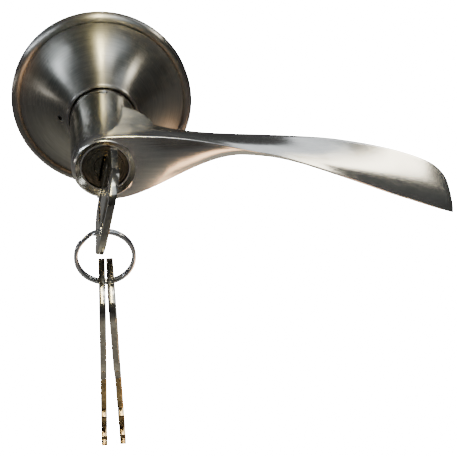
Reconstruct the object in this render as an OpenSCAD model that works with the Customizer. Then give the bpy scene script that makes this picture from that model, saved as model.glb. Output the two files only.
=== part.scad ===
// Outside half of a keyed door lever set: round rose, neck, wave lever, lock cylinder and three keys.
// Origin: centre of the rose's back face, on the door. +X along the lever, +Z up, -Y away from the door.
// Each piece is drawn with its axis along Z (height d above the door face), then laid over by out().

/* [Rose] */
// outer radius of the rose
rose_r = 32.5;            // [30:0.5:36]
// height of the rose at the collar
rose_h = 21.2;            // [18:0.2:24]
// wall of the pressed rose
rose_wall = 1.2;          // [1:0.1:1.6]
// collar opening radius
collar_r = 11.75;         // [11.7:0.05:12.2]

/* [Neck and lever] */
// neck radius at the collar
neck_r = 11.3;            // [11:0.05:11.35]
// neck radius at the nose
nose_r = 10.2;            // [10:0.05:10.6]
// distance from the door face to the nose
nose_d = 63.2;            // [62:0.1:66]

/* [Keys] */
// key plate thickness
key_t = 1.85;             // [1.8:0.05:2.2]
// turn of the key and plug at rest, clockwise from the front
key_turn = 13;            // [0:1:20]

/* [Hidden] */
$fn = 72;
shank_r = 10.4;           // rear of the lever that turns in the bush
bush_bore = 10.45;
bush_r = 11.6;
bush_back = 0.4;          // rear of the bush, just clear of the door face
plate_t = 2;
plate_r = rose_r - rose_wall;
post_x = 19;              // fixing post distance from the axis
post_r = 4;
post_end = -22;
tap_r = 2.1;              // M5 tapping size
cyl_r = 7.4;              // cylinder body and the bore that holds it
bible_top = 9.4;          // top of the pin chamber rib
bible_w = 4.6;
plug_r = 5.5;
plug_gap = 0.06;
plug_front = 61.8;
plug_back = 31.8;
pin_r = 1.25;
pin_hole_r = 1.3;
pin_first = 55.5;         // first pin, measured from the door face
pin_pitch = 3.8;
shear = plug_r + plug_gap / 2;
tube_r = 7.4;             // spindle tube
tube_in = 6.3;
tube_front = 28;
tube_end = -38;
catch_d = 24.5;           // lever catch, measured from the door face
stop_turn = 50;           // lever turn each way
shoulder_d = 66.2;        // key shoulder from the door face
bow_len = 33;
hole_s = 28;              // slot across the bow, from the shoulder
hole_r = 2.6;
hole_h = 3.6;             // centre of each round end of the slot
blade_len = 29;
ring_r = 8.5;
wire_w = 1.2;             // split ring strip, radial
wire_t = 0.95;            // split ring strip, each coil
hang = 1.3;               // how far a hanging wire sits off a hole's centre
ring_d = shoulder_d + hole_s;
wire_h = -hole_h - 1.1;    // where the ring lies in the slot of the key in the lock
ring_x = wire_h * sin(key_turn);
ring_top = wire_h * cos(key_turn);
ring_z = ring_top - (ring_r - wire_w / 2);
spare_z = ring_z - (ring_r - wire_w / 2) - hang;
spare_x = 1.2;
spare_lean = 1.65;
lip_r = 7.1;              // opening in the nose in front of the cylinder

// Lays a piece drawn along +Z so that it points away from the door, with its own +Y up.
module out() { rotate([90, 0, 0]) children(); }

// Plain round bar or tube between two heights.
module bar(r, d0, d1) { translate([0, 0, d0]) cylinder(r = r, h = d1 - d0); }
module tube(r, r_in, d0, d1) {
  difference() {
    bar(r, d0, d1);
    bar(r_in, d0 - 1, d1 + 1);
  }
}

// Faces of a closed sweep of n rings of m points.
function skin(n, m) = concat(
  [[for (j = [m - 1:-1:0]) j]],
  [for (i = [0:n - 2], j = [0:m - 1]) [i * m + j, i * m + (j + 1) % m, (i + 1) * m + (j + 1) % m]],
  [for (i = [0:n - 2], j = [0:m - 1]) [i * m + j, (i + 1) * m + (j + 1) % m, (i + 1) * m + j]],
  [[for (j = [0:m - 1]) (n - 1) * m + j]]);

// ---- rose ----
// Concave sweep of the rose, from the rim step (t = 0) to the collar (t = 1).
sweep_end = 82;
sweep_r0 = rose_r - 3.2;
sweep_d0 = 3.6;
sweep_a = (sweep_r0 - collar_r - 1.15) / sin(sweep_end);
sweep_b = (rose_h - 0.6 - sweep_d0) / (1 - cos(sweep_end));
function sweep(t, off) =
  let (a = t * sweep_end, nr = sweep_b * sin(a), nd = sweep_a * cos(a), n = norm([nr, nd]))
  [sweep_r0 - sweep_a * sin(a) - off * nr / n, sweep_d0 + sweep_b * (1 - cos(a)) - off * nd / n];
bead_c = [rose_r - 1.7, 2.9];

module rose_cover() {
  color([0.45, 0.43, 0.41]) out() difference() {
    rotate_extrude() polygon(concat(
      [[plate_r, 0], [rose_r, 0]],
      [for (a = [0:15:150]) bead_c + 1.7 * [cos(a), sin(a)]],
      [for (i = [0:16]) sweep(i / 16, 0)],
      [[collar_r + 0.9, rose_h - 0.15], [collar_r + 0.6, rose_h], [collar_r, rose_h]],
      [[collar_r, rose_h - 1.6]],
      [for (i = [16:-1:0]) let (p = sweep(i / 16, rose_wall)) [max(p[0], collar_r), p[1]]],
      [[plate_r, sweep_d0 - rose_wall]]));
    rotate(188) translate([15.2, 0, 8]) cylinder(r = 0.9, h = 10, $fn = 24);
  }
}

module mounting_plate() {
  color([0.7, 0.7, 0.68]) out() {
    difference() {
      bar(plate_r, 0, plate_t);
      bar(bush_r, -1, plate_t + 1);
      for (s = [-1, 1]) translate([s * post_x, 0, 0]) bar(post_r, -1, plate_t + 1);
      for (a = [45:90:315]) rotate(a) translate([24, 0, 0]) bar(2.4, -1, plate_t + 1);
    }
    // lug that holds the two legs of the return spring
    intersection() {
      tube(17.2, 15.9, plate_t, 7);
      translate([-2.2, 0, 0]) cube([4.4, 20, 10]);
    }
  }
}

module threaded_posts() {
  color([0.72, 0.71, 0.69]) out() for (s = [-1, 1]) translate([s * post_x, 0, 0]) difference() {
    union() {
      bar(post_r, post_end, plate_t);
      bar(post_r + 0.6, plate_t, plate_t + 1.1);
    }
    bar(tap_r, post_end - 1, -5);
  }
}

module neck_bush() {
  color([0.76, 0.62, 0.36]) out() {
    tube(bush_r, bush_bore, bush_back, 7.4);
    tube(13.9, bush_r, plate_t, 3);
  }
}

module thrust_washer() {
  color([0.9, 0.9, 0.86]) out() tube(12.6, shank_r + 0.15, 7.4, 8);
}

stop_at = 63.5;
module stop_pins() {
  color([0.6, 0.6, 0.6]) out() for (s = [-1, 1]) rotate(-90 + s * stop_at)
    translate([15.1, 0, 0]) bar(1, plate_t, 8.8);
}

// Round wire spring, as [radius, angle, height]: a leg, two close turns round the bush, and a leg.
wire_r = 0.7;
leg_a = 102.2;
turns_a = 695.6;
SPRING = concat([[17.6, leg_a, 3.8], [15, leg_a, 3.8]],
  [for (i = [0:46]) let (t = i / 46) [13, leg_a + turns_a * t, 3.8 + 2.9 * t]],
  [[15, leg_a + turns_a, 6.7], [17.6, leg_a + turns_a, 6.7]]);
module return_spring() {
  path = [for (p = SPRING) [p[0] * cos(p[1]), p[0] * sin(p[1]), p[2]]];
  n = len(path);
  m = 10;
  points = [for (i = [0:n - 1])
    let (t = path[min(i + 1, n - 1)] - path[max(i - 1, 0)], k = norm([t[0], t[1]]))
    for (j = [0:m - 1]) path[i] + wire_r * (cos(j * 360 / m) * [t[1] / k, -t[0] / k, 0]
      + sin(j * 360 / m) * [0, 0, 1])];
  color([0.5, 0.51, 0.53]) out() polyhedron(points = points, faces = skin(n, m));
}

// ---- lever ----
// Stations along the arm: [x, top back edge, ridge, lower front edge, lower back edge], each [up, d].
ARM = [
  [-3, [ 7.0, 47], [ 9.7, 62.9], [-9.7, 62.9], [-7.2, 47]],
  [ 0, [ 7.8, 46.4], [10.3, 63], [-10.3, 63], [-8.2, 46.6]],
  [ 6, [ 8.2, 46], [10.4, 63], [-9.7, 63], [-8.6, 47]],
  [11, [ 8.2, 47], [10.3, 63.1], [-8.1, 63], [-7.4, 48]],
  [16, [ 8.0, 48.4], [10.0, 63.1], [-5.9, 62.9], [-5.6, 49.6]],
  [22, [ 7.6, 49.8], [9.4, 63.1], [-3.0, 62.7], [-3.4, 51]],
  [28, [ 7.0, 50.4], [8.5, 63.2], [-0.2, 62.6], [-1.8, 51.6]],
  [34, [ 6.5, 50.6], [7.2, 63.2], [ 1.8, 62.2], [-0.6, 51.6]],
  [40, [ 6.1, 50.3], [5.6, 63.0], [ 2.7, 61.8], [-0.6, 51.2]],
  [46, [ 5.7, 50.0], [4.0, 62.6], [ 2.2, 61.4], [-1.2, 50.6]],
  [53, [ 5.2, 49.6], [2.2, 62.0], [ 0.9, 60.8], [-2.6, 49.4]],
  [62, [ 4.4, 49.0], [-0.9, 61.4], [-2.0, 60.0], [-4.4, 48.2]],
  [72, [ 3.4, 48.6], [-4.9, 60.9], [-5.9, 59.4], [-6.6, 47.6]],
  [82, [ 1.7, 48.4], [-9.0, 60.5], [-9.9, 58.9], [-9.0, 47.2]],
  [92, [-0.6, 48.2], [-13.1, 60.2], [-13.9, 58.6], [-11.4, 47.2]],
  [100, [-3.0, 48.0], [-16.1, 59.8], [-16.9, 58.3], [-13.8, 47.3]],
  [107, [-5.6, 48.4], [-18.8, 59.5], [-19.5, 58.1], [-16.4, 47.8]],
  [111.5, [-8.2, 49.2], [-20.5, 59.2], [-21.1, 57.9], [-18.4, 48.8]],
  [114.6, [-11.8, 51.2], [-21.7, 58.8], [-22.1, 57.6], [-20.4, 51.0]],
  [115.8, [-16.2, 53.8], [-22.2, 58.4], [-22.5, 57.3], [-21.6, 53.6]]];
// How far each corner is rounded: top back, ridge, lower front, lower back.
ROUND = [2.2, 0.5, 0.35, 2.0];
corner_steps = 3;
function corner(a, b, c, r) =
  let (u = (a - b) / norm(a - b), v = (c - b) / norm(c - b),
    k = min(r, 0.45 * min(norm(a - b), norm(c - b))), p = b + u * k, q = b + v * k)
  [for (i = [0:corner_steps]) let (t = i / corner_steps)
    (1 - t) * (1 - t) * p + 2 * t * (1 - t) * b + t * t * q];
function section(s) = [for (i = [0:3]) each corner(s[1 + (i + 3) % 4], s[1 + i], s[1 + (i + 1) % 4],
  ROUND[i])];

module arm() {
  rings = [for (s = ARM) let (q = section(s)) [for (k = [len(q) - 1:-1:0]) [s[0], q[k][0], q[k][1]]]];
  polyhedron(points = [for (r = rings) each r], faces = skin(len(rings), len(rings[0])));
}

// Curved fillet between the neck and the back of the arm.
GUSSET = [[4, 24], [9.6, 31], [12.8, 35], [15.2, 39], [16.8, 43.5], [17.7, 49], [18, 58], [4, 58]];
module gusset() {
  rotate([90, 0, 0]) translate([0, 0, -8.2]) linear_extrude(height = 12.8) polygon(GUSSET);
}

module lever() {
  color([0.68, 0.67, 0.65]) out() difference() {
    union() {
      rotate_extrude() polygon([[0, -2.2], [shank_r, -2.2], [shank_r, 9.7], [neck_r, 9.7], [neck_r, 24],
        [nose_r, 60.9], [nose_r - 0.25, 62.1], [nose_r - 0.9, 62.9], [nose_r - 1.1, nose_d], [0, nose_d]]);
      arm();
      gusset();
    }
    bar(cyl_r, -3, 60.8);
    bar(lip_r, 60, 62.01);
    // light flared ring round the lock face
    translate([0, 0, 62]) cylinder(r1 = 7.6, r2 = nose_r - 1.1 + 0.02, h = nose_d - 62 + 0.01);
    // slot for the rib that holds the pins
    translate([-bible_w / 2, 0, -3]) cube([bible_w, bible_top, 61]);
    // groove for the circlip
    tube(shank_r + 1, 9.9, -1.4, -0.4);
    // hole over the lever catch
    translate([0, 5, catch_d]) rotate([-90, 0, 0]) cylinder(r = 1.7, h = 8, $fn = 32);
  }
}

module spring_driver() {
  color([0.62, 0.62, 0.6]) out() difference() {
    union() {
      bar(13.3, 8.3, 9.7);
      intersection() {
        bar(15.3, 3.4, 9.7);
        translate([-2, 14.35, 0]) cube([4, 3, 10]);
      }
      intersection() {
        bar(15.3, 8.3, 9.7);
        translate([-2, 0, 0]) cube([4, 16, 10]);
      }
      intersection() {
        bar(15.4, 8.3, 9.7);
        translate([-2.1, -16, 0]) cube([4.2, 16, 10]);
      }
    }
    bar(shank_r, 0, 10);
  }
}

module lever_circlip() {
  color([0.35, 0.35, 0.37]) out() translate([0, 0, -1.4]) rotate(-65)
    rotate_extrude(angle = 310) translate([9.9, 0]) square([1.6, 1]);
}

module spindle() {
  color([0.66, 0.67, 0.68]) out() difference() {
    tube(tube_r, tube_in, tube_end, tube_front);
    translate([-10, 3, tube_end - 1]) cube([20, 10, 31]);
    translate([0, 5, catch_d]) rotate([-90, 0, 0]) cylinder(r = 1.7, h = 4, $fn = 32);
  }
}

// ---- cylinder ----
pins = [0:4];
module at_pins() { for (i = pins) translate([0, 0, pin_first - i * pin_pitch]) children(); }
module upright(r, z0, z1) { translate([0, z0, 0]) rotate([-90, 0, 0]) cylinder(r = r, h = z1 - z0, $fn = 32); }

module cylinder_shell() {
  color([0.72, 0.6, 0.36]) out() difference() {
    union() {
      bar(cyl_r, 34, 60.8);
      bar(lip_r - 0.4, 60, 61.5);
      translate([-bible_w / 2, 0, 34]) cube([bible_w, bible_top, 23.9]);
    }
    bar(plug_r + plug_gap, 33, 62);
    at_pins() upright(pin_hole_r, 3, 10);
    translate([-1.7, 8.7, 36]) cube([3.4, 2, 22]);
  }
}

module cylinder_spacer() {
  color([0.2, 0.2, 0.21]) out() tube(cyl_r, 6.75, tube_front, 34);
}

module driver_pins() {
  color([0.75, 0.62, 0.38]) out() at_pins() upright(pin_r, shear + 0.05, 7.1);
}

module pin_springs() {
  color([0.7, 0.68, 0.6]) out() at_pins() translate([0, 7.1, 0]) rotate([-90, 0, 0])
    for (i = [0:3]) translate([0, 0, 0.2 + 0.37 * i])
      rotate_extrude($fn = 32) translate([0.95, 0]) circle(r = 0.2, $fn = 16);
}

module chamber_cap() {
  color([0.7, 0.58, 0.36]) out() translate([-1.7, 8.7, 36]) cube([3.4, 0.6, 21.9]);
}

module catch_spring() {
  color([0.5, 0.5, 0.52]) out() translate([0, 0, catch_d - 2]) rotate(118)
    rotate_extrude(angle = 304) translate([4.5, 0]) square([0.35, 4]);
}

module lever_catch() {
  color([0.6, 0.6, 0.61]) out() translate([0, 0, catch_d]) {
    upright(1.35, 5, 10.7);
    upright(2, 4.5, 5.4);
  }
}

module plug() {
  color([0.4, 0.37, 0.33]) out() rotate(-key_turn) difference() {
    bar(plug_r, plug_back, plug_front);
    translate([-1.35, -4.8, 34]) cube([2.7, 8.4, 30]);
    at_pins() upright(pin_hole_r, 3, 6);
    tube(plug_r + 1, 4.8, 32.6, 33.4);
    // recess round the keyway on the face
    translate([0, 0, plug_front - 0.4]) cylinder(r1 = 3.2, r2 = 3.6, h = 0.5);
  }
}

module key_pins() {
  color([0.76, 0.63, 0.38]) out() rotate(-key_turn) at_pins() upright(pin_r, 3.75, shear - 0.2);
}

module plug_clip() {
  color([0.35, 0.35, 0.37]) out() translate([0, 0, 32.6]) rotate(-60)
    rotate_extrude(angle = 300) translate([4.8, 0]) square([1.7, 0.8]);
}

module tailpiece() {
  color([0.6, 0.6, 0.58]) out() rotate(-key_turn) translate([-0.8, -3, -42])
    cube([1.6, 6, plug_back + 42]);
}

// ---- keys ----
// Outline of a key: x from the shoulder towards the bow, y across.
CUTS = [0, 1.7, 0.7, 1.9, 1.1];
blade_top = 3.3;
blade_low = -4.4;
function cut_points(i) = let (x = -(shoulder_d - pin_first) - i * pin_pitch, w = blade_top - 0.15 - CUTS[i])
  [[x + 1.9, blade_top], [x + 0.6, w], [x - 0.6, w], [x - 1.9, blade_top]];
module bow_outline() {
  for (x = [10.5, bow_len - 8], y = [-4.5, 4.5]) translate([x, y]) circle(r = 7.5 + (x > 11 ? 0.5 : 0));
  translate([10.5, -12]) square([bow_len - 18.5, 24]);
  translate([3, -4.5]) square([bow_len - 3, 9]);
  translate([0, -6.5]) square([9, 13]);
}
module key_plate() {
  difference() {
    translate([0, 0, -key_t / 2]) linear_extrude(height = key_t) difference() {
      union() {
        bow_outline();
        polygon(concat([[0.5, blade_low], [0.5, blade_top]],
          [for (i = pins) each cut_points(i)],
          [[-blade_len + 1, blade_top - 0.6], [-blade_len, -1.6], [-blade_len + 2.4, blade_low]]));
      }
      for (s = [-1, 1]) translate([hole_s, s * hole_h]) circle(r = hole_r);
      translate([hole_s - hole_r + 0.02, -hole_h]) square([2 * hole_r - 0.04, 2 * hole_h]);
    }
    // milled grooves along the blade
    translate([-blade_len - 1, -2.3, 0.35]) cube([blade_len + 0.5, 1.6, 2]);
    translate([-blade_len - 1, 0.3, -2.35]) cube([blade_len + 0.5, 1.5, 2]);
    // shallow panel on each face of the bow
    for (s = [-1, 1]) translate([7, -6.5, s * (key_t / 2 + 0.75) - 1]) cube([14.5, 13, 2]);
  }
}

module key() {
  color([0.7, 0.66, 0.56]) out() rotate(-key_turn) translate([0, 0, shoulder_d])
    rotate([0, -90, 0]) key_plate();
}

module split_ring() {
  color([0.78, 0.78, 0.78]) out() translate([ring_x, ring_z, ring_d]) {
    for (s = [-1, 1]) translate([0, 0, s * wire_t / 2 - wire_t / 2]) rotate(s > 0 ? 45 : 139)
      rotate_extrude(angle = 350) translate([ring_r - wire_w, 0]) square([wire_w, wire_t]);
  }
}

module spare_key(s) {
  color([0.7, 0.66, 0.56]) translate([ring_x + s * spare_x, -ring_d, spare_z + hang]) rotate([0, -s * spare_lean, 0])
    translate([0, 0, -hang - hole_s]) rotate([0, 0, 180]) rotate([0, -90, 0]) key_plate();
}
module spare_key_left() { spare_key(-1); }
module spare_key_right() { spare_key(1); }

rose_cover();
mounting_plate();
threaded_posts();
neck_bush();
thrust_washer();
stop_pins();
return_spring();
lever();
spring_driver();
lever_circlip();
spindle();
cylinder_shell();
cylinder_spacer();
driver_pins();
pin_springs();
chamber_cap();
catch_spring();
lever_catch();
plug();
key_pins();
plug_clip();
tailpiece();
key();
split_ring();
spare_key_left();
spare_key_right();
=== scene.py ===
import bpy
import bmesh
import math
from math import sin, cos, radians, pi
from mathutils import Matrix, Vector


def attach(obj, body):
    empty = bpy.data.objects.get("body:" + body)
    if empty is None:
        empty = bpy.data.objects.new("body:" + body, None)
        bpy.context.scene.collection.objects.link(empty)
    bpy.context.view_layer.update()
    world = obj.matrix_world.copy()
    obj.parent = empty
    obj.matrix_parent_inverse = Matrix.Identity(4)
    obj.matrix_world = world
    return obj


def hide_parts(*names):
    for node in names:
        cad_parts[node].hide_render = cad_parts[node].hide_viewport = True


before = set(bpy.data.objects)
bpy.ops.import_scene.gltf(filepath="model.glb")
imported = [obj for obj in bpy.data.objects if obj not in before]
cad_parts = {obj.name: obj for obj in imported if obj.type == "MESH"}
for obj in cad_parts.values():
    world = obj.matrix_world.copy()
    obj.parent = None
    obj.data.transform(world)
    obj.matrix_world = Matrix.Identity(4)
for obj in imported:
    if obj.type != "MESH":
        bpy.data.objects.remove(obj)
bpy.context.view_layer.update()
MM = 0.001  # lengths below are in millimetres and are scaled by this, apart from the camera, lights and floor


# ---------------------------------------------------------------- camera
def make_camera():
    tilt, yaw, roll = radians(27.9), radians(9.3), radians(1.9)
    target = Vector((43.5, -30, -39.6)) * MM
    distance = 0.300
    fwd = Vector((sin(yaw) * cos(tilt), cos(yaw) * cos(tilt), -sin(tilt)))
    level = Vector((cos(yaw), -sin(yaw), 0))
    rise = level.cross(fwd)
    right = cos(roll) * level + sin(roll) * rise
    up = -sin(roll) * level + cos(roll) * rise
    data = bpy.data.cameras.new("camera")
    data.lens = 64.54
    data.sensor_width = 36
    data.clip_start = 0.01
    data.clip_end = 20
    cam = bpy.data.objects.new("camera", data)
    bpy.context.collection.objects.link(cam)
    at = target - fwd * distance
    rows = [(right[i], up[i], -fwd[i], at[i]) for i in range(3)]
    cam.matrix_world = Matrix((*rows, (0, 0, 0, 1)))
    bpy.context.scene.camera = cam


make_camera()


# ---------------------------------------------------------------- mesh helpers
def mesh_object(name, verts, faces, sharp=35):
    me = bpy.data.meshes.new(name)
    me.from_pydata([Vector(v) for v in verts], [], faces)
    ob = bpy.data.objects.new(name, me)
    bpy.context.collection.objects.link(ob)
    tidy(ob, sharp)
    return ob


def tidy(ob, sharp=35):
    bm = bmesh.new()
    bm.from_mesh(ob.data)
    bmesh.ops.remove_doubles(bm, verts=bm.verts, dist=1e-7)
    bmesh.ops.recalc_face_normals(bm, faces=bm.faces)
    bm.to_mesh(ob.data)
    bm.free()
    shade(ob, sharp)


def shade(ob, sharp):
    for p in ob.data.polygons:
        p.use_smooth = True
    ob.data.set_sharp_from_angle(angle=radians(sharp))


def lathe(name, profile, steps=160, sharp=35, swell=lambda r, d, w: r):
    """Closed profile of (radius, height off the door) in mm, turned about the spindle axis.
    swell gives the radius at a profile point and an angle round the axis."""
    verts, faces, n = [], [], len(profile)
    for k in range(steps):
        a = 2 * pi * k / steps
        for r, d in profile:
            q = swell(r, d, a)
            verts.append((q * cos(a) * MM, -d * MM, q * sin(a) * MM))
    for k in range(steps):
        a, b = k * n, (k + 1) % steps * n
        for i in range(n):
            j = (i + 1) % n
            faces.append((a + i, a + j, b + j, b + i))
    return mesh_object(name, verts, faces, sharp)


def skin(name, rings, sharp=35):
    """Sweep through rings of points in mm, with end caps."""
    m, n = len(rings[0]), len(rings)
    verts = [Vector(p) * MM for r in rings for p in r]
    faces = []
    for i in range(n - 1):
        a, b = i * m, (i + 1) * m
        for j in range(m):
            k = (j + 1) % m
            faces.append((a + j, a + k, b + k, b + j))
    faces += [tuple(range(m)), tuple((n - 1) * m + j for j in range(m))]
    return mesh_object(name, verts, faces, sharp)


def boolean(ob, other, how):
    mod = ob.modifiers.new("cut", "BOOLEAN")
    mod.operation, mod.object, mod.solver = how, other, "EXACT"
    baked = bpy.data.meshes.new_from_object(ob.evaluated_get(bpy.context.evaluated_depsgraph_get()))
    ob.modifiers.clear()
    ob.data = baked
    bpy.data.objects.remove(other)


def box_object(name, lo, hi):
    v = [(x, y, z) for x in (lo[0], hi[0]) for y in (lo[1], hi[1]) for z in (lo[2], hi[2])]
    f = [(0, 1, 3, 2), (4, 6, 7, 5), (0, 4, 5, 1), (2, 3, 7, 6), (0, 2, 6, 4), (1, 5, 7, 3)]
    return mesh_object(name, [Vector(p) * MM for p in v], f)


def rod(name, a, b, r):
    """Plain round cutter from a to b, in mm."""
    a, b = Vector(a), Vector(b)
    steps = 32
    q = (b - a).to_track_quat("Z", "Y")
    ring = [q @ Vector((r * cos(2 * pi * k / steps), r * sin(2 * pi * k / steps), 0)) for k in range(steps)]
    return skin(name, [[a + p for p in ring], [b + p for p in ring]])


# ---------------------------------------------------------------- materials
def new_material(name):
    m = bpy.data.materials.new(name)
    m.use_nodes = True
    m.node_tree.nodes.clear()
    out = m.node_tree.nodes.new("ShaderNodeOutputMaterial")
    bsdf = m.node_tree.nodes.new("ShaderNodeBsdfPrincipled")
    m.node_tree.links.new(bsdf.outputs[0], out.inputs[0])
    return m, m.node_tree, bsdf


def node(tree, kind, **settings):
    n = tree.nodes.new(kind)
    for k, v in settings.items():
        if k.startswith("in_"):
            n.inputs[int(k[3:])].default_value = v
        else:
            setattr(n, k, v)
    return n


def ramp(tree, source, stops):
    n = tree.nodes.new("ShaderNodeValToRGB")
    while len(n.color_ramp.elements) < len(stops):
        n.color_ramp.elements.new(0.5)
    for el, (at, c) in zip(n.color_ramp.elements, stops):
        el.position, el.color = at, (*c, 1)
    tree.links.new(source, n.inputs[0])
    return n.outputs[0]


def remap(tree, source, lo, hi, a=0.3, b=0.7):
    """Carry the span from a to b over to lo to hi."""
    n = node(tree, "ShaderNodeMapRange", in_1=a, in_2=b, in_3=lo, in_4=hi)
    tree.links.new(source, n.inputs[0])
    return n.outputs[0]


def brushed(name, dark, light, rough=0.3, spread=0.07, grain=(60, 2600, 2600), turned=False,
            aniso=0.0, bump=0.08):
    """Satin metal: fine brush lines along one way, or in circles if turned, and slow stains."""
    m, t, bsdf = new_material(name)
    coord = node(t, "ShaderNodeTexCoord")
    place = coord.outputs["Object"]
    if turned:
        sep = node(t, "ShaderNodeSeparateXYZ")
        t.links.new(place, sep.inputs[0])
        ang = node(t, "ShaderNodeMath", operation="ARCTAN2")
        t.links.new(sep.outputs[2], ang.inputs[0])
        t.links.new(sep.outputs[0], ang.inputs[1])
        flat = node(t, "ShaderNodeVectorMath", operation="MULTIPLY")
        flat.inputs[1].default_value = (1, 0, 1)
        t.links.new(place, flat.inputs[0])
        rad = node(t, "ShaderNodeVectorMath", operation="LENGTH")
        t.links.new(flat.outputs[0], rad.inputs[0])
        comb = node(t, "ShaderNodeCombineXYZ")
        for i, src in enumerate((ang.outputs[0], rad.outputs["Value"], sep.outputs[1])):
            mul = node(t, "ShaderNodeMath", operation="MULTIPLY", in_1=grain[i])
            t.links.new(src, mul.inputs[0])
            t.links.new(mul.outputs[0], comb.inputs[i])
        lines_at = comb.outputs[0]
    else:
        mp = node(t, "ShaderNodeMapping")
        mp.inputs["Scale"].default_value = grain
        t.links.new(place, mp.inputs[0])
        lines_at = mp.outputs[0]
    lines = node(t, "ShaderNodeTexNoise")
    lines.inputs["Scale"].default_value = 1
    lines.inputs["Detail"].default_value = 4
    t.links.new(lines_at, lines.inputs["Vector"])
    stain = node(t, "ShaderNodeTexNoise")
    stain.inputs["Scale"].default_value = 55
    stain.inputs["Detail"].default_value = 3
    t.links.new(place, stain.inputs["Vector"])
    mix = node(t, "ShaderNodeMix", data_type="FLOAT")
    mix.inputs["Factor"].default_value = 0.55
    t.links.new(lines.outputs[0], mix.inputs["A"])
    t.links.new(stain.outputs[0], mix.inputs["B"])
    t.links.new(ramp(t, mix.outputs["Result"], [(0.36, dark), (0.62, light)]), bsdf.inputs["Base Color"])
    t.links.new(remap(t, mix.outputs["Result"], rough - spread, rough + spread), bsdf.inputs["Roughness"])
    bp = node(t, "ShaderNodeBump")
    bp.inputs["Strength"].default_value = bump
    bp.inputs["Distance"].default_value = 0.0002
    t.links.new(lines.outputs[0], bp.inputs["Height"])
    t.links.new(bp.outputs[0], bsdf.inputs["Normal"])
    bsdf.inputs["Metallic"].default_value = 1.0
    if aniso:
        bsdf.inputs["Anisotropic"].default_value = aniso
        bsdf.inputs["Anisotropic Rotation"].default_value = 0.25
        tan = node(t, "ShaderNodeTangent", direction_type="RADIAL", axis="Y" if turned else "X")
        t.links.new(tan.outputs[0], bsdf.inputs["Tangent"])
    return m


def moulded(name, dark, light, rough=0.5):
    """Moulded plastic with a fine pebble and slow shade changes."""
    m, t, bsdf = new_material(name)
    coord = node(t, "ShaderNodeTexCoord")
    fine = node(t, "ShaderNodeTexNoise")
    fine.inputs["Scale"].default_value = 1800
    slow = node(t, "ShaderNodeTexNoise")
    slow.inputs["Scale"].default_value = 90
    for n in (fine, slow):
        t.links.new(coord.outputs["Object"], n.inputs["Vector"])
    t.links.new(ramp(t, slow.outputs[0], [(0.35, dark), (0.65, light)]), bsdf.inputs["Base Color"])
    t.links.new(remap(t, fine.outputs[0], rough - 0.08, rough + 0.08), bsdf.inputs["Roughness"])
    bp = node(t, "ShaderNodeBump")
    bp.inputs["Strength"].default_value = 0.15
    bp.inputs["Distance"].default_value = 0.0002
    t.links.new(fine.outputs[0], bp.inputs["Height"])
    t.links.new(bp.outputs[0], bsdf.inputs["Normal"])
    return m


ROSE = brushed("rose_nickel", (0.24, 0.235, 0.215), (0.33, 0.32, 0.295), rough=0.33, spread=0.04,
               grain=(3, 2600, 2600), turned=True, aniso=0.9, bump=0.006)
LEVER = brushed("lever_nickel", (0.50, 0.485, 0.45), (0.62, 0.60, 0.56), rough=0.2, spread=0.04,
                grain=(35, 2400, 2400), bump=0.05)
ZINC = brushed("zinc_steel", (0.50, 0.51, 0.50), (0.68, 0.69, 0.67), rough=0.36, grain=(700, 700, 700))
SPRING = brushed("spring_steel", (0.22, 0.22, 0.23), (0.40, 0.40, 0.41), rough=0.34, grain=(900, 900, 900))
BUSH = brushed("bush_brass", (0.50, 0.36, 0.16), (0.72, 0.56, 0.30), rough=0.32,
               grain=(3, 2200, 2200), turned=True)
LOCK = brushed("lock_brass", (0.50, 0.37, 0.18), (0.70, 0.55, 0.30), rough=0.34,
               grain=(3, 2200, 2200), turned=True)
# plug and cylinder shell: the near-black colour is painted shade for the lock face, which sits back in the
# lever's nose; the turned lines and stains in it are grain
PLUG_PAINTED_SHADE = brushed("plug_nickel", (0.02, 0.02, 0.018), (0.13, 0.12, 0.095), rough=0.33,
               grain=(4, 2600, 2600), turned=True)
KEY = brushed("key_nickel", (0.22, 0.20, 0.17), (0.42, 0.40, 0.34), rough=0.14, spread=0.03,
              grain=(900, 160, 900), bump=0.04)
KEY_CUT = brushed("key_cut_brass", (0.05, 0.03, 0.02), (0.55, 0.40, 0.19), rough=0.18, spread=0.05,
                  grain=(1300, 1300, 900))
RING = brushed("ring_steel", (0.42, 0.42, 0.42), (0.70, 0.70, 0.70), rough=0.16, spread=0.04,
               grain=(900, 900, 900), bump=0.004)
NYLON = moulded("washer_nylon", (0.74, 0.73, 0.68), (0.84, 0.83, 0.79))
BLACK = moulded("spacer_plastic", (0.035, 0.035, 0.04), (0.07, 0.07, 0.075))

CARRIED = {
    ZINC: ["mounting_plate", "threaded_posts", "stop_pins", "spring_driver", "spindle", "lever_catch",
           "tailpiece"],
    SPRING: ["return_spring", "lever_circlip", "pin_springs", "catch_spring", "plug_clip"],
    BUSH: ["neck_bush"],
    LOCK: ["driver_pins", "chamber_cap", "key_pins"],
    # the plug and the cylinder shell carry the near-black painted shade
    PLUG_PAINTED_SHADE: ["plug", "cylinder_shell"],
    NYLON: ["thrust_washer"],
    BLACK: ["cylinder_spacer"],
}
for material, names in CARRIED.items():
    for name in names:
        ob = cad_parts[name]
        if not ob.material_slots:
            ob.data.materials.append(material)
        for s in ob.material_slots:
            s.material = material


def dress(ob, body, slot_name, materials, *stands_for):
    for m in materials:
        ob.data.materials.append(m)
    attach(ob, body)
    if stands_for:
        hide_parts(*stands_for)


# ---------------------------------------------------------------- rose
ROSE_R, ROSE_H, COLLAR_R, WALL = 32.5, 21.2, 11.75, 1.2
RIM_R, RIM_D = 1.7, 2.9                    # rolled rim: its radius, and its centre off the door
FACE_IN, FACE_D = 3.2, 3.6                 # where the trumpet face starts, in from the rim and off the door
PIN_HOLE_R, PIN_HOLE_AT, PIN_HOLE_TURN = 0.9, 15.2, 188


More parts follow.
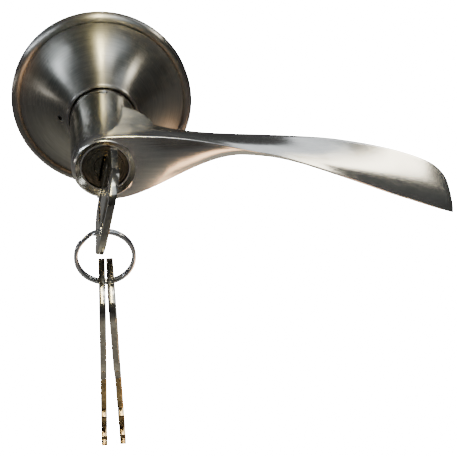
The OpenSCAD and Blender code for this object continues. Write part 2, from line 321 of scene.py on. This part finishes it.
def make_rose():
    r0, end = ROSE_R - FACE_IN, radians(82)
    a = (r0 - COLLAR_R - 1.15) / sin(end)
    b = (ROSE_H - 0.6 - FACE_D) / (1 - cos(end))

    def face(t, inset):
        """Point on the trumpet face, an arc of an ellipse, at t from 0 to 1, set in by inset."""
        w = t * end
        nr, nd = b * sin(w), a * cos(w)
        n = math.hypot(nr, nd)
        return (r0 - a * sin(w) - inset * nr / n, FACE_D + b * (1 - cos(w)) - inset * nd / n)

    prof = [(ROSE_R - WALL, 0), (ROSE_R - 0.25, 0), (ROSE_R - 0.07, 0.07), (ROSE_R, 0.25)]
    prof += [(ROSE_R - RIM_R + RIM_R * cos(radians(w)), RIM_D + RIM_R * sin(radians(w)))
             for w in range(0, 151, 6)]
    prof += [(r0 + 0.25, 3.58)]
    prof += [face(i / 60, 0) for i in range(1, 61)]
    prof += [(COLLAR_R + 0.95, ROSE_H - 0.3), (COLLAR_R + 0.78, ROSE_H - 0.08), (COLLAR_R + 0.5, ROSE_H),
             (COLLAR_R + 0.12, ROSE_H - 0.02), (COLLAR_R, ROSE_H - 0.15), (COLLAR_R, ROSE_H - 1.6)]
    prof += [(max(r, COLLAR_R), d) for r, d in (face(i / 40, WALL) for i in range(40, -1, -1))]
    prof += [(ROSE_R - WALL, 2.4)]
    ob = lathe("rose", prof, steps=224, sharp=32)
    w = radians(PIN_HOLE_TURN)
    x, z = PIN_HOLE_AT * cos(w), PIN_HOLE_AT * sin(w)
    boolean(ob, rod("pin_hole", (x, -8, z), (x, -18, z), PIN_HOLE_R), "DIFFERENCE")
    shade(ob, 32)
    dress(ob, "trim", "rose_nickel", [ROSE], "rose_cover")


make_rose()

# ---------------------------------------------------------------- lever
# Stations along the arm: x, then top back edge, ridge, lower front edge, lower back edge as (up, d).
ARM = [
    (-3, (8.4, 47), (9.7, 62.9), (-9.7, 62.9), (-7.2, 47)),
    (0, (9.0, 46.4), (10.3, 63), (-10.3, 63), (-8.2, 46.6)),
    (6, (9.2, 46), (10.4, 63), (-9.7, 63), (-8.6, 47)),
    (11, (9.1, 47), (10.3, 63.1), (-8.1, 63), (-7.4, 48)),
    (16, (8.6, 48.4), (10.0, 63.1), (-5.9, 62.9), (-5.6, 49.6)),
    (22, (7.6, 49.8), (9.4, 63.1), (-3.0, 62.7), (-3.4, 51)),
    (28, (7.0, 50.4), (8.5, 63.2), (-0.2, 62.6), (-1.8, 51.6)),
    (34, (6.5, 50.6), (7.2, 63.2), (1.8, 62.2), (-0.6, 51.6)),
    (40, (6.1, 50.3), (5.6, 63.0), (2.7, 61.8), (-0.6, 51.2)),
    (46, (5.7, 50.0), (4.0, 62.6), (2.2, 61.4), (-1.2, 50.6)),
    (53, (5.2, 49.6), (2.2, 62.0), (0.9, 60.8), (-2.6, 49.4)),
    (62, (4.4, 49.0), (-0.9, 61.4), (-2.0, 60.0), (-4.4, 48.2)),
    (72, (3.4, 48.6), (-4.9, 60.9), (-5.9, 59.4), (-6.6, 47.6)),
    (82, (1.7, 48.4), (-9.0, 60.5), (-9.9, 58.9), (-9.0, 47.2)),
    (92, (-0.6, 48.2), (-13.1, 60.2), (-13.9, 58.6), (-11.4, 47.2)),
    (100, (-3.0, 48.0), (-16.1, 59.8), (-16.9, 58.3), (-13.8, 47.3)),
    (107, (-5.6, 48.4), (-18.8, 59.5), (-19.5, 58.1), (-16.4, 47.8)),
    (111.5, (-8.2, 49.2), (-20.5, 59.2), (-21.1, 57.9), (-18.4, 48.8)),
    (114.6, (-11.8, 51.2), (-21.7, 58.8), (-22.1, 57.6), (-20.4, 51.0)),
    (115.8, (-16.2, 53.8), (-22.2, 58.4), (-22.5, 57.3), (-21.6, 53.6)),
]
ROUND = (2.2, 0.45, 0.35, 2.0)             # corner radius at each of the four edges
CROWN = (0.75, 0.9, 0.3, 0.5)              # rise in the middle of the side after each edge


def spline(t, keys, values):
    """Value at t on a Hermite curve through the keyed values, sloped by each key's neighbours."""
    i = max(j for j in range(len(keys) - 1) if keys[j] <= t or j == 0)
    slope = []
    for j in (i, i + 1):
        lo, hi = max(j - 1, 0), min(j + 1, len(keys) - 1)
        slope.append((values[hi] - values[lo]) / (keys[hi] - keys[lo]))
    h = keys[i + 1] - keys[i]
    u = (t - keys[i]) / h
    return ((2 * u**3 - 3 * u**2 + 1) * values[i] + (u**3 - 2 * u**2 + u) * h * slope[0]
            + (3 * u**2 - 2 * u**3) * values[i + 1] + (u**3 - u**2) * h * slope[1])


def arm_ring(x):
    """Section of the arm at x: rounded corners, joined by crowned sides."""
    keys = [s[0] for s in ARM]
    quad = [Vector([spline(x, keys, [s[1 + c][k] for s in ARM]) for k in (0, 1)]) for c in range(4)]
    out = []
    for c in range(4):
        a, b, n, nn = quad[c - 1], quad[c], quad[(c + 1) % 4], quad[(c + 2) % 4]
        k = min(ROUND[c], 0.45 * min((a - b).length, (n - b).length))
        p, q = b + (a - b).normalized() * k, b + (n - b).normalized() * k
        for i in range(6):
            t = i / 5
            out.append((1 - t) ** 2 * p + 2 * t * (1 - t) * b + t * t * q)
        # the side after this corner
        k2 = min(ROUND[(c + 1) % 4], 0.45 * min((b - n).length, (nn - n).length))
        e = n + (b - n).normalized() * k2
        side = e - q
        away = Vector((-side.y, side.x)).normalized()
        centre = sum(quad, Vector((0, 0))) / 4
        if (q - centre).dot(away) < 0:
            away = -away
        crown = CROWN[c] * min(1, side.length / 12) * min(1, max(0.15, (x - 4) / 14))
        for i in range(1, 8):
            t = i / 8
            lean = 0.35 + 1.3 * t if c == 0 else 1
            out.append(q + side * t + away * crown * 4 * t * (1 - t) * lean)
    return [(x, -p.y, p.x) for p in out]


# Outer edge of the fillet between the neck and the back of the arm, as (height d, x).
FILLET = [(20, 1), (24, 4), (31, 9.6), (33.2, 11.3), (35, 12.8), (37, 14.1), (39, 15.2), (41.2, 16.1),
          (43.5, 16.8), (46.3, 17.4), (49, 17.7), (53, 18), (64, 18)]


FILLET_FROM, FILLET_TO, FILLET_FADE = 20, 61, 4   # heights off the door where it starts, ends and fades
FILLET_TURN, FILLET_SPREAD = 22, 78               # degrees above the arm's line, and to each side of that


def gusset(r, d, w):
    """Neck radius with the fillet towards the arm blended in, at height d and angle w."""
    if d < FILLET_FROM or d > FILLET_TO:
        return r
    out = spline(d, [f[0] for f in FILLET], [f[1] for f in FILLET]) - r
    out = 0.5 * (out + math.sqrt(out * out + 1)) * min(1, (FILLET_TO - d) / FILLET_FADE)
    turn = math.degrees(w + pi) % 360 - 180 - FILLET_TURN
    share = cos(radians(turn * 90 / FILLET_SPREAD)) ** 1.3 if abs(turn) < FILLET_SPREAD else 0
    full = r + out * share
    limit = (9.2 + 0.05 * max(0, d - 44)) if sin(w) > 0 else 7.6
    if abs(sin(w)) * full > limit:
        full = max(r, limit / abs(sin(w)))
    return full


SHANK_R, NECK_R, NECK_TAPER = 10.4, 11.3, 1.1
TUBE_R, CYLINDER_R, CATCH_R, CATCH_D = 7.4, 7.1, 1.7, 24.5
RIB_HALF, RIB_TOP = 2.3, 9.4               # slot for the cylinder's pin rib


def make_lever():
    xs = []
    for a, b in zip(ARM, ARM[1:]):
        steps = max(3, int((b[0] - a[0]) / 0.9))
        xs += [a[0] + (b[0] - a[0]) * i / steps for i in range(steps)]
    xs += [ARM[-1][0]]
    ob = skin("lever", [arm_ring(x) for x in xs], 30)

    neck = [(0.001, -2.2), (SHANK_R - 0.2, -2.2), (SHANK_R, -2.0), (SHANK_R, 9.7), (NECK_R - 0.1, 9.7),
            (NECK_R, 9.8)]
    neck += [(NECK_R if d < 24 else NECK_R - NECK_TAPER * (d - 24) / 36.9, d) for d in range(12, 61)]
    neck += [(10.18, 61.2), (10.1, 61.7), (9.88, 62.2), (9.55, 62.75), (9.2, 63.1), (9.0, 63.2),
             (0.001, 63.2)]
    solid = lathe("neck", neck, steps=200, swell=gusset)
    boolean(ob, solid, "UNION")
    bore = [(0.001, -5), (TUBE_R, -5), (TUBE_R, 60.8), (CYLINDER_R, 60.8), (CYLINDER_R, 62.0),
            (7.6, 62.0), (8.9, 63.05), (9.12, 66), (0.001, 66)]
    boolean(ob, lathe("bore", bore, steps=128), "DIFFERENCE")
    boolean(ob, box_object("slot", (-RIB_HALF, -58, 0), (RIB_HALF, 5, RIB_TOP)), "DIFFERENCE")
    boolean(ob, rod("catch_hole", (0, -CATCH_D, 5), (0, -CATCH_D, 14), CATCH_R), "DIFFERENCE")
    shade(ob, 30)
    dress(ob, "lever", "lever_nickel", [LEVER], "lever")


make_lever()

# ---------------------------------------------------------------- keys
SHOULDER_D, HOLE_S, KEY_T, TURN = 66.2, 28, 1.85, 13
SLOT_R, SLOT_H = 2.6, 3.6                  # slot in the bow: end radius, and half the way between its ends
BLADE_TOP, PIN_FIRST, PIN_PITCH = 3.3, 55.5, 3.8
CUTS = (0, 1.7, 0.7, 1.9, 1.1)             # depth of each cut below the first
BEVEL = 0.06


def key_outline():
    """Key in its own plane: x runs from the shoulder to the bow, and the blade is on the negative side."""
    def arc(cx, cy, r, a, b, n):
        return [(cx + r * cos(radians(a + (b - a) * i / n)), cy + r * sin(radians(a + (b - a) * i / n)))
                for i in range(n + 1)]
    top = [(0, BLADE_TOP), (0, 6.2), (0.3, 6.5), (2.9, 6.5)] + arc(10.5, 4.5, 7.5, 163, 90, 12)
    top += arc(25, 4.5, 8, 110, 0, 20)
    low = [(x, -y) for x, y in reversed(top)][:-1] + [(0, -4.4)]
    tip = [(-26.2, -4.4), (-26.8, -4.2), (-28.8, -2.0), (-29, -1.6), (-28.85, -0.9), (-28.15, 2.2),
           (-28, 2.7)]
    teeth = []
    for i in reversed(range(5)):
        x, y = -(SHOULDER_D - PIN_FIRST) - i * PIN_PITCH, BLADE_TOP - 0.15 - CUTS[i]
        teeth += [(x - 1.9, 3.25), (x - 0.65, y), (x + 0.65, y), (x + 1.9, 3.25)]
    return top + low + tip + teeth


def make_key(name, matrix, body, stands_for):
    cu = bpy.data.curves.new(name, "CURVE")
    cu.dimensions, cu.fill_mode = "2D", "BOTH"
    hole = [(HOLE_S + SLOT_R * cos(pi * k / 20), s * SLOT_H + SLOT_R * sin(pi * k / 20))
            for s, ks in ((1, range(21)), (-1, range(20, 41))) for k in ks]
    for pts in (key_outline(), hole):
        sp = cu.splines.new("POLY")
        sp.points.add(len(pts) - 1)
        for p, (x, y) in zip(sp.points, pts):
            p.co = (x * MM, y * MM, 0, 1)
        sp.use_cyclic_u = True
    cu.bevel_depth, cu.bevel_resolution, cu.offset = BEVEL * MM, 2, -BEVEL * MM
    cu.extrude = (KEY_T / 2 - BEVEL) * MM
    tmp = bpy.data.objects.new(name + "_curve", cu)
    bpy.context.collection.objects.link(tmp)
    me = bpy.data.meshes.new_from_object(tmp.evaluated_get(bpy.context.evaluated_depsgraph_get()))
    bpy.data.objects.remove(tmp)
    ob = bpy.data.objects.new(name, me)
    bpy.context.collection.objects.link(ob)
    tidy(ob)
    boolean(ob, box_object("groove_a", (-30.5, -2.3, 0.4), (-0.6, -0.7, 3)), "DIFFERENCE")
    boolean(ob, box_object("groove_b", (-30.5, 0.3, -3), (-0.6, 1.8, -0.4)), "DIFFERENCE")
    for s in (-1, 1):
        lo, hi = sorted((s * (KEY_T / 2 - 0.22), s * 3))
        boolean(ob, box_object("panel", (7, -6.5, lo), (21.5, 6.5, hi)), "DIFFERENCE")
    # the cut edge of the blade and its tip are bare brass
    for p in ob.data.polygons:
        c, n = p.center / MM, p.normal
        p.material_index = int(c.x < -1 and abs(n.z) < 0.8 and (c.y > 0.5 or c.x < -27))
    ob.data.transform(matrix)
    ob.data.update()
    shade(ob, 28)
    dress(ob, body, "key_nickel", [KEY, KEY_CUT], stands_for)


def place(at):
    return Matrix.Translation(Vector(at) * MM)


OUT = Matrix.Rotation(radians(90), 4, "X")
FLAT = Matrix.Rotation(radians(-90), 4, "Y")
RING_R, WIRE_W, WIRE_T, HANG = 8.5, 1.2, 0.95, 1.3
SPARE_OUT, SPARE_LEAN = 1.2, 1.65          # spare keys: half their spacing, and their lean in degrees
WIRE_H = -SLOT_H - 1.1
RING_X = WIRE_H * sin(radians(TURN))
RING_D = SHOULDER_D + HOLE_S
RING_Z = WIRE_H * cos(radians(TURN)) - (RING_R - WIRE_W / 2)
SPARE_Z = RING_Z - (RING_R - WIRE_W / 2) - HANG

in_lock = OUT @ Matrix.Rotation(radians(-TURN), 4, "Z") @ place((0, 0, SHOULDER_D)) @ FLAT
make_key("key_in_lock", in_lock, "key", "key")
for side, s in (("left", -1), ("right", 1)):
    lean = Matrix.Rotation(radians(-s * SPARE_LEAN), 4, "Y")
    hung = place((0, 0, -HANG - HOLE_S)) @ Matrix.Rotation(pi, 4, "Z") @ FLAT
    spare = place((RING_X + s * SPARE_OUT, -RING_D, SPARE_Z + HANG)) @ lean @ hung
    make_key("spare_" + side, spare, "spare_" + side, "spare_key_" + side)


# ---------------------------------------------------------------- split ring
def make_ring():
    """One wire of two turns, which steps from the front coil to the back one near the middle."""
    n, start, gap = 260, 140, 14
    sweep = 720 - 2 * gap
    half_way = 360 - gap
    taper, rings = 4, []
    for k in range(n + 1):
        w = start + sweep * k / n
        u = min(max((w - start - (half_way - gap)) / (2 * gap), 0), 1)
        side = 0.5 - (3 * u * u - 2 * u**3)
        to_end = min(k, n - k) / n * 720
        w_half, t_half = WIRE_W / 2, WIRE_T / 2 - 0.01
        if to_end < taper:
            w_half *= 0.55 + 0.45 * to_end / taper
        ring = []
        for j in range(16):
            a = 2 * pi * j / 16
            ca, sa = cos(a), sin(a)
            across = w_half * math.copysign(abs(ca) ** 0.55, ca)
            along = t_half * math.copysign(abs(sa) ** 0.55, sa)
            r = RING_R - WIRE_W / 2 + across
            ring.append((RING_X + r * cos(radians(w)), -RING_D + side * WIRE_T + along,
                         RING_Z + r * sin(radians(w))))
        rings.append(ring)
    ob = skin("key_ring", rings, 40)
    dress(ob, "ring", "ring_steel", [RING], "split_ring")


make_ring()


# ---------------------------------------------------------------- floor, light
WHITE_OUT = 30                             # brightness of the floor and backdrop as the camera sees them


def make_stage():
    """Floor that lights the part as a plain pale surface, and that the camera sees as pure white."""
    me = bpy.data.meshes.new("floor")
    half, low = 6.0, -0.9
    corners = [(-half, -half, low), (half, -half, low), (half, half, low), (-half, half, low)]
    me.from_pydata(corners, [], [(0, 1, 2, 3)])
    ob = bpy.data.objects.new("floor", me)
    bpy.context.collection.objects.link(ob)
    m, t, bsdf = new_material("floor_white")
    coord = node(t, "ShaderNodeTexCoord")
    nz = node(t, "ShaderNodeTexNoise")
    nz.inputs["Scale"].default_value = 3
    t.links.new(coord.outputs["Object"], nz.inputs["Vector"])
    shades = [(0.3, (0.93, 0.93, 0.93)), (0.7, (0.95, 0.95, 0.95))]
    t.links.new(ramp(t, nz.outputs[0], shades), bsdf.inputs["Base Color"])
    bsdf.inputs["Roughness"].default_value = 0.9
    glow = node(t, "ShaderNodeEmission")
    glow.inputs[1].default_value = WHITE_OUT
    path = node(t, "ShaderNodeLightPath")
    mix = node(t, "ShaderNodeMixShader")
    t.links.new(path.outputs["Is Camera Ray"], mix.inputs[0])
    t.links.new(bsdf.outputs[0], mix.inputs[1])
    t.links.new(glow.outputs[0], mix.inputs[2])
    out = [n for n in t.nodes if n.type == "OUTPUT_MATERIAL"][0]
    t.links.new(mix.outputs[0], out.inputs[0])
    ob.data.materials.append(m)


def area(name, at, aim, size, power, color):
    data = bpy.data.lights.new(name, "AREA")
    data.shape, data.size, data.size_y = "RECTANGLE", size[0], size[1]
    data.energy, data.color = power, color
    ob = bpy.data.objects.new(name, data)
    bpy.context.collection.objects.link(ob)
    ob.location = at
    ob.rotation_mode = "QUATERNION"
    ob.rotation_quaternion = (Vector(at) - Vector(aim)).to_track_quat("Z", "Y")


def make_light():
    w = bpy.data.worlds.new("studio")
    bpy.context.scene.world = w
    w.use_nodes = True
    t = w.node_tree
    t.nodes.clear()
    out = t.nodes.new("ShaderNodeOutputWorld")
    mix = t.nodes.new("ShaderNodeMixShader")
    path = t.nodes.new("ShaderNodeLightPath")
    seen = t.nodes.new("ShaderNodeBackground")
    seen.inputs[0].default_value = (1, 1, 1, 1)
    seen.inputs[1].default_value = WHITE_OUT
    room = t.nodes.new("ShaderNodeBackground")
    coord = t.nodes.new("ShaderNodeTexCoord")
    sep = t.nodes.new("ShaderNodeSeparateXYZ")
    t.links.new(coord.outputs["Generated"], sep.inputs[0])
    up = remap(t, sep.outputs[2], 0, 1, -1, 1)
    shades = [(0.0, (0.07, 0.05, 0.035)), (0.38, (0.045, 0.037, 0.03)), (0.5, (0.05, 0.052, 0.055)),
              (0.75, (0.09, 0.095, 0.10)), (1.0, (0.16, 0.17, 0.18))]
    t.links.new(ramp(t, up, shades), room.inputs[0])
    t.links.new(path.outputs["Is Camera Ray"], mix.inputs[0])
    t.links.new(room.outputs[0], mix.inputs[1])
    t.links.new(seen.outputs[0], mix.inputs[2])
    t.links.new(mix.outputs[0], out.inputs[0])
    area("arm_soft", (0.70, 0.0, 0.60), (0.07, -0.05, 0), (0.46, 0.13), 2.6, (1, 0.93, 0.76))
    area("arm_fill", (0.50, 0.30, 0.62), (0.07, -0.05, 0), (0.5, 0.3), 0.9, (0.84, 0.91, 1))
    area("edge_top", (0.13, -0.34, 0.82), (0.02, -0.06, 0), (0.3, 0.22), 1.5, (1, 0.98, 0.95))
    area("rose_top", (0.0, -0.35, 0.62), (0, -0.01, 0), (0.024, 0.9), 6.0, (1, 0.86, 0.45))
    area("rose_wide", (0.12, -0.40, 0.66), (0, -0.01, 0), (0.30, 0.9), 1.9, (0.76, 0.87, 1))
    area("rose_left", (-0.60, -0.42, 0.36), (0, -0.01, 0), (0.8, 0.03), 3.2, (0.82, 0.9, 1))
    area("rose_side", (-0.75, -0.28, -0.05), (0, -0.01, 0), (0.8, 0.03), 0.4, (1, 0.95, 0.88))
    area("front_low", (0.34, -0.66, -0.54), (0.03, -0.06, 0), (0.3, 0.24), 1.7, (1, 0.6, 0.32))


make_stage()
make_light()
